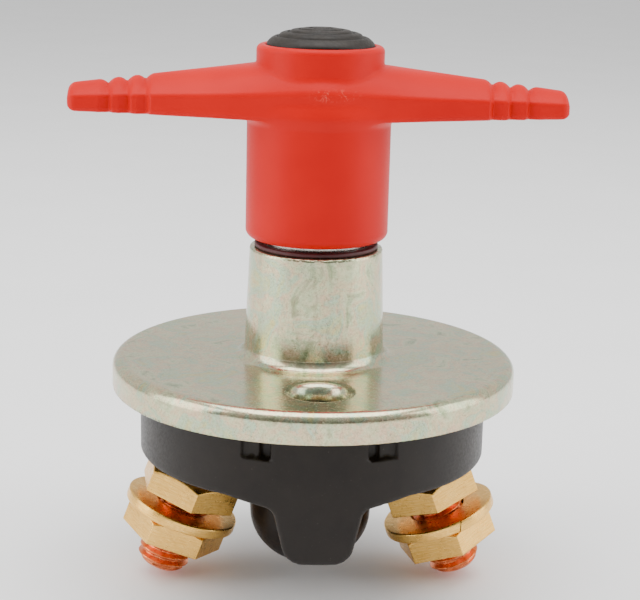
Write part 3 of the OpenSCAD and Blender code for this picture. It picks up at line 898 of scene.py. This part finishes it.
def copper():
    s = Shader("Copper")
    base = s.ramp(s.noise(0.6, 4, 0.6), (0.3, (0.62, 0.15, 0.05)), (0.55, (0.85, 0.27, 0.11)),
                  (0.75, (0.92, 0.38, 0.19)))
    s.set(Base_Color=base, Metallic=1.0, Roughness=s.grey(s.noise(1.5, 3, 0.6), 0.24, 0.40))
    s.bump(s.noise(4.0, 4, 0.6), 0.2, 0.04)
    return s.material


def cap_rubber():
    s = Shader("Cap rubber")
    base = s.ramp(s.noise(0.4, 4, 0.65), (0.3, (0.007, 0.005, 0.0035)), (0.7, (0.020, 0.014, 0.009)))
    s.set(Base_Color=base, Roughness=s.grey(s.noise(2.0, 4, 0.6), 0.42, 0.6), Specular_IOR_Level=0.3)
    s.bump(s.noise(3.5, 5, 0.7), 0.3, 0.06)
    return s.material


def turned_metal(name, dark, light, low, high):
    """Bright turned steel with fine rings round its own axis."""
    s = Shader(name)
    rings = s.noise(1.0, 2, 0.5, s.polar(0.3, 9.0))
    s.set(Base_Color=s.ramp(rings, (0.3, dark), (0.7, light)), Metallic=1.0)
    s.set(Roughness=s.grey(s.noise(1.0, 3, 0.6), low, high))
    s.bump(rings, 0.2, 0.04)
    return s.material


def matt(name, dark, light, grain, low, high):
    """Rubber, fibre or moulded plastic with a soft grain."""
    s = Shader(name)
    s.set(Base_Color=s.ramp(s.noise(grain, 4, 0.65), (0.3, dark), (0.7, light)))
    s.set(Roughness=s.grey(s.noise(grain * 4, 3, 0.6), low, high))
    s.bump(s.noise(grain * 6, 4, 0.7), 0.25, 0.06)
    return s.material


FINISHES = {
    "red_plastic": red_plastic(),
    "zinc_plate": zinc_plate(),
    "black_moulding": black_moulding(),
    "brass": brass(),
    "copper": copper(),
    "cap_rubber": cap_rubber(),
    "bush_metal": turned_metal("Bush metal", (0.50, 0.48, 0.42), (0.72, 0.70, 0.64), 0.18, 0.3),
    "steel": turned_metal("Steel", (0.42, 0.42, 0.42), (0.62, 0.62, 0.61), 0.28, 0.42),
    "seal_rubber": matt("Seal rubber", (0.045, 0.003, 0.004), (0.08, 0.006, 0.008), 0.5, 0.45, 0.6),
    "black_rubber": matt("Black rubber", (0.012, 0.012, 0.012), (0.03, 0.03, 0.03), 0.8, 0.45, 0.6),
    "gasket_fibre": matt("Gasket fibre", (0.14, 0.09, 0.05), (0.24, 0.16, 0.10), 1.2, 0.7, 0.85),
    "brown_insulator": matt("Brown insulator", (0.10, 0.05, 0.025), (0.16, 0.08, 0.04), 0.5, 0.45, 0.6),
}


# ---------------------------------------------------------------- pieces

record = frame["record"]
slot_of = {part["node"]: part["material_slot"] for part in record["subparts"]}
body_of = {node: body for body, members in record["behaviour"]["bodies"].items() for node in members}


def dress(obj, node):
    """Gives an object the finish of a CAD node."""
    obj.data.materials.clear()
    obj.data.materials.append(FINISHES[slot_of[node]])


def finish_piece(obj, node):
    """Puts a piece on the body of the CAD node it stands for, in that node's finish."""
    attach(obj, body_of[node])
    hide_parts(node)
    dress(obj, node)


handle = field_piece("visual_handle", handle_field, (-46, -14, 22), (46, 14, 58), 0.4)
finish_piece(handle, "handle")
finish_piece(lathe("visual_handle_cap", cap_loop(), sharp=50), "handle_cap")
flange = field_piece("visual_flange", flange_field, (-38, -38, -6), (38, 38, 21), 0.5)
finish_piece(flange, "mounting_flange")
housing = field_piece("visual_housing", housing_field, (-36, -36, -42), (36, 36, -2), 0.6)
finish_piece(housing, "housing")
seal = washer_loop(SEAL_R, SEAL_BORE_R, COLLAR_TOP + SEAL_LIFT, HUB_BOTTOM - SEAL_GAP, 0.3)
finish_piece(lathe("visual_seal_ring", seal), "seal_ring")

heights = [v.co.z / MM for v in nodes["return_spring"].data.vertices]
spring_low, spring_high = min(heights), max(heights)
spring = coil_spring(
    "visual_return_spring", SPRING_R, SPRING_WIRE_R, spring_low, spring_high, SPRING_TURNS)
finish_piece(spring, "return_spring")
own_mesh(spring)

for side, word in ((-1, "left"), (1, "right")):
    place = stud_place(side)
    washer_seat = NUT_SEAT + NUT_H + LUG_GAP[side]
    terminal_seat = washer_seat + WASHER_T
    stud = field_piece(
        f"visual_stud_{word}", stud_field, (-8, -8, HEAD_SEAT - 5), (8, 8, STUD_END), 0.22)
    stud.data.transform(place)
    finish_piece(stud, f"stud_{word}")
    for label, seat, corner in (("seat_nut", NUT_SEAT, SEAT_NUT_CORNER[side]),
                                ("terminal_nut", terminal_seat, TERMINAL_NUT_CORNER[side])):
        here = place @ Matrix.Translation((0, 0, (seat + NUT_LIFT) * MM))
        nut = field_piece(
            f"visual_{label}_{word}", nut_field(corner), (-10, -10, 0), (10, 10, NUT_H), 0.2, here)
        finish_piece(nut, f"{label}_{word}")
    points, faces = lock_washer_points(WASHER_SPLIT[side])
    here = place @ Matrix.Translation((0, 0, washer_seat * MM))
    washer = add_mesh(f"visual_lock_washer_{word}", points, faces, place=here)
    finish_piece(washer, f"lock_washer_{word}")

for node, obj in nodes.items():
    dress(obj, node)


# ---------------------------------------------------------------- stage

def area_light(name, place, width, height, power):
    data = bpy.data.lights.new(name, "AREA")
    data.shape = "RECTANGLE"
    data.size, data.size_y = width, height
    data.energy = power
    obj = bpy.data.objects.new(name, data)
    bpy.context.scene.collection.objects.link(obj)
    obj.location = place
    obj.rotation_euler = (Vector(LIGHT_AIM) - Vector(place)).to_track_quat("-Z", "Y").to_euler()


def floor():
    corners = [(x * FLOOR_HALF, y * FLOOR_HALF, FLOOR_Z) for x, y in ((-1, -1), (1, -1), (1, 1), (-1, 1))]
    obj = add_mesh("floor", corners, [(0, 1, 2, 3)])
    made = Shader("Floor")
    paper = made.noise(0.02, 2, 0.5)
    made.set(Base_Color=made.ramp(paper, (0.3, (0.93, 0.93, 0.93)), (0.7, (0.95, 0.95, 0.95))))
    made.set(Roughness=made.grey(made.noise(0.05, 2, 0.5), 0.85, 0.95), Specular_IOR_Level=0.1)
    obj.data.materials.append(made.material)


def studio():
    """Three softboxes, and surroundings whose brightness follows Y + Z of the direction."""
    for softbox in SOFTBOXES:
        area_light(*softbox)
    world = bpy.data.worlds.new("Studio")
    bpy.context.scene.world = world
    world.use_nodes = True
    make, link = world.node_tree.nodes.new, world.node_tree.links.new
    back = world.node_tree.nodes["Background"]
    back.inputs["Color"].default_value = (1, 1, 1, 1)
    coord = make("ShaderNodeTexCoord")
    split = make("ShaderNodeSeparateXYZ")
    both = make("ShaderNodeMath")
    fade = make("ShaderNodeMapRange")
    for end, edge, strength in zip(("Min", "Max"), SKY_RANGE, SKY_STRENGTH):
        fade.inputs[f"From {end}"].default_value = edge
        fade.inputs[f"To {end}"].default_value = strength
    link(coord.outputs["Generated"], split.inputs[0])
    link(split.outputs["Y"], both.inputs[0])
    link(split.outputs["Z"], both.inputs[1])
    link(both.outputs[0], fade.inputs["Value"])
    link(fade.outputs["Result"], back.inputs["Strength"])


def camera():
    data = bpy.data.cameras.new("Camera")
    data.lens = CAMERA_LENS
    data.sensor_width = CAMERA_SENSOR
    data.clip_start = 0.01
    obj = bpy.data.objects.new("Camera", data)
    bpy.context.scene.collection.objects.link(obj)
    obj.location = CAMERA_PLACE
    forward = Vector(CAMERA_FORWARD).normalized()
    aimed = forward.to_track_quat("-Z", "Y").to_matrix().to_4x4()
    roll = Matrix.Rotation(math.radians(CAMERA_ROLL), 4, "Z")
    obj.rotation_euler = (aimed @ roll).to_euler()
    bpy.context.scene.camera = obj



floor()
studio()
camera()
